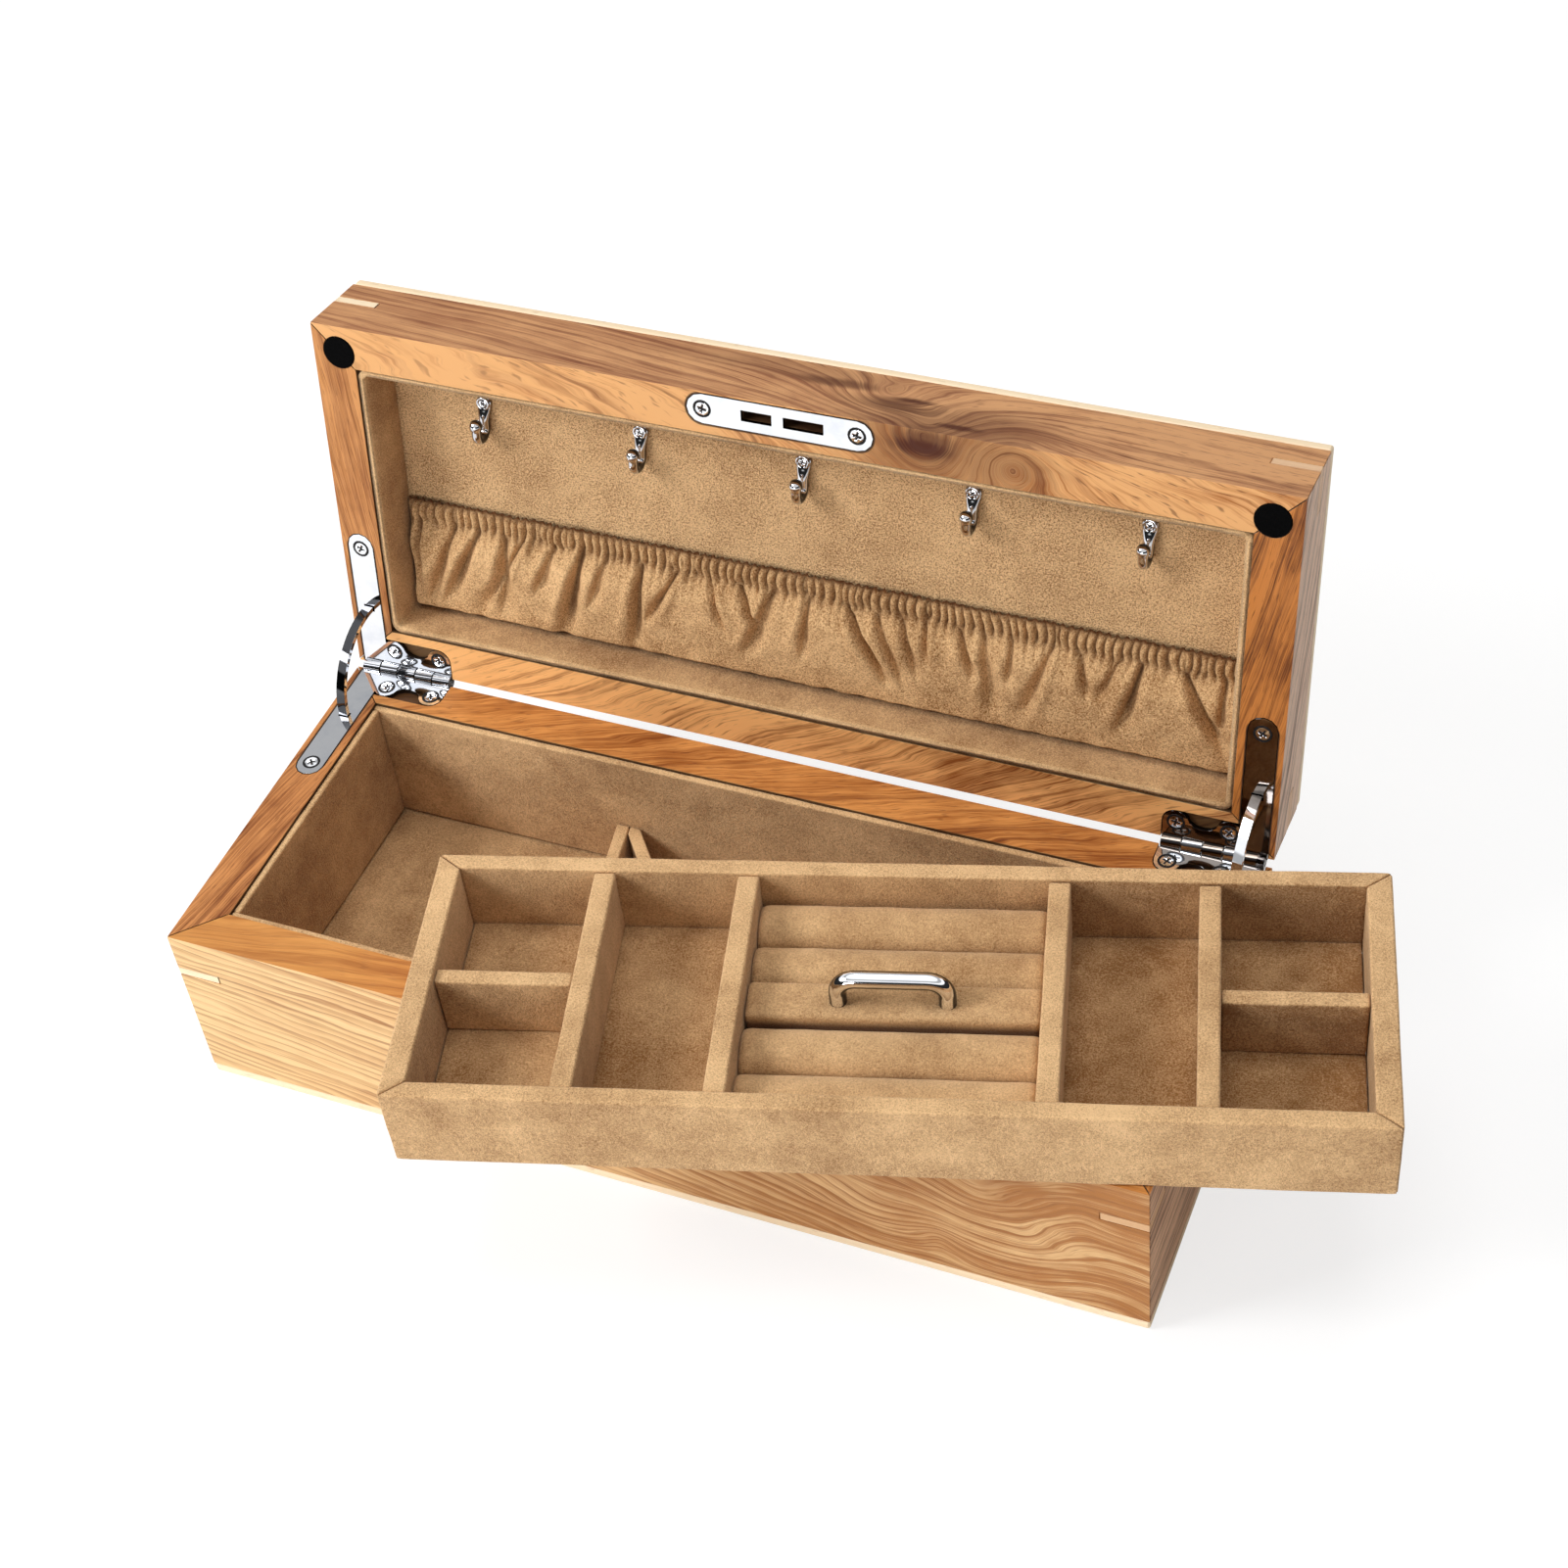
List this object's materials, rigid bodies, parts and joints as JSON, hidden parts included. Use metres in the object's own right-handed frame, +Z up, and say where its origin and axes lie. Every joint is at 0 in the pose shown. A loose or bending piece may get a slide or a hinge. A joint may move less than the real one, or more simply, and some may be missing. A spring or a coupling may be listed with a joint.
{
  "type": "tiered jewelry box",
  "caption": "Mitred wooden jewelry box with a hinged lid on quadrant stays, hooks and a gathered pocket in the lid, and a lift-out suede tray with ring rolls and a handle.",
  "frame": {"origin": "centre of the underside of the box", "axes": "+X to the right along the front, +Y to the back where the lid is hinged, +Z up"},
  "size_m": [0.4201, 0.2599, 0.214],
  "materials": {
    "honey_wood": "satin lacquered striped honey-brown hardwood",
    "pale_maple": "satin pale maple",
    "tan_suede": "soft tan suede cloth over board",
    "chrome": "polished",
    "black_felt": "matt black felt"
  },
  "bodies": {
    "box": {"box_front_wall": "honey_wood", "box_back_wall": "honey_wood", "box_left_wall": "honey_wood", "box_right_wall": "honey_wood", "box_base_panel": "pale_maple", "box_key_front_left": "pale_maple", "box_key_front_right": "pale_maple", "box_key_back_left": "pale_maple", "box_key_back_right": "pale_maple", "box_floor_board": "tan_suede", "box_lining_front": "tan_suede", "box_lining_back": "tan_suede", "box_lining_left": "tan_suede", "box_lining_right": "tan_suede", "box_partition_left": "tan_suede", "box_partition_slanted": "tan_suede", "box_partition_right": "tan_suede", "hinge_leaf_box_left": "chrome", "hinge_leaf_box_right": "chrome", "lock_body": "chrome"},
    "lid": {"lid_front_rail": "honey_wood", "lid_back_rail": "honey_wood", "lid_left_rail": "honey_wood", "lid_right_rail": "honey_wood", "lid_top_panel": "pale_maple", "lid_key_front_left": "pale_maple", "lid_key_front_right": "pale_maple", "lid_key_back_left": "pale_maple", "lid_key_back_right": "pale_maple", "lid_back_pad": "tan_suede", "lid_lining": "tan_suede", "gathered_pocket": "tan_suede", "hinge_leaf_lid_left": "chrome", "hinge_leaf_lid_right": "chrome", "strike_plate": "chrome", "necklace_hook_1": "chrome", "necklace_hook_2": "chrome", "necklace_hook_3": "chrome", "necklace_hook_4": "chrome", "necklace_hook_5": "chrome", "lid_bumper_left": "black_felt", "lid_bumper_right": "black_felt"},
    "stay_left": {"quadrant_stay_left": "chrome"},
    "stay_right": {"quadrant_stay_right": "chrome"},
    "tray": {"tray_front_wall": "tan_suede", "tray_back_wall": "tan_suede", "tray_left_wall": "tan_suede", "tray_right_wall": "tan_suede", "tray_floor": "tan_suede", "tray_partition_1": "tan_suede", "tray_partition_2": "tan_suede", "tray_partition_3": "tan_suede", "tray_partition_4": "tan_suede", "tray_cross_partition_left": "tan_suede", "tray_cross_partition_right": "tan_suede", "ring_rolls_front": "tan_suede", "ring_rolls_back": "tan_suede", "handle_block": "tan_suede", "tray_handle": "chrome"},
    "lock_plug": {"lock_plug": "chrome"}
  },
  "joints": [
    {"name": "lid_hinge", "type": "hinge", "parent": "box", "child": "lid", "pos_m": [0, 0.07195, 0.0735], "axis": [1, 0, 0], "range_deg": [0, 99.3]},
    {"name": "stay_left_slide", "type": "hinge", "parent": "box", "child": "stay_left", "pos_m": [-0.1675, 0.07195, 0.0735], "axis": [1, 0, 0], "range_deg": [0, 49.65]},
    {"name": "stay_right_slide", "type": "hinge", "parent": "box", "child": "stay_right", "pos_m": [0.1675, 0.07195, 0.0735], "axis": [1, 0, 0], "range_deg": [0, 49.65]},
    {"name": "tray_lift", "type": "slide", "parent": "box", "child": "tray", "axis": [0, -0.8192, 0.5736], "range_m": [0, 0.21]},
    {"name": "key_turn", "type": "hinge", "parent": "box", "child": "lock_plug", "pos_m": [0, -0.067, 0.0577], "axis": [0, 1, 0], "range_deg": [0, 90]}
  ],
  "couplings": [
    {"joint": "stay_left_slide", "follows": "lid_hinge", "ratio": 0.5},
    {"joint": "stay_right_slide", "follows": "lid_hinge", "ratio": 0.5},
    {"joint": "tray_lift", "follows": "lid_hinge", "m_per_rad": 0.1211}
  ]
}
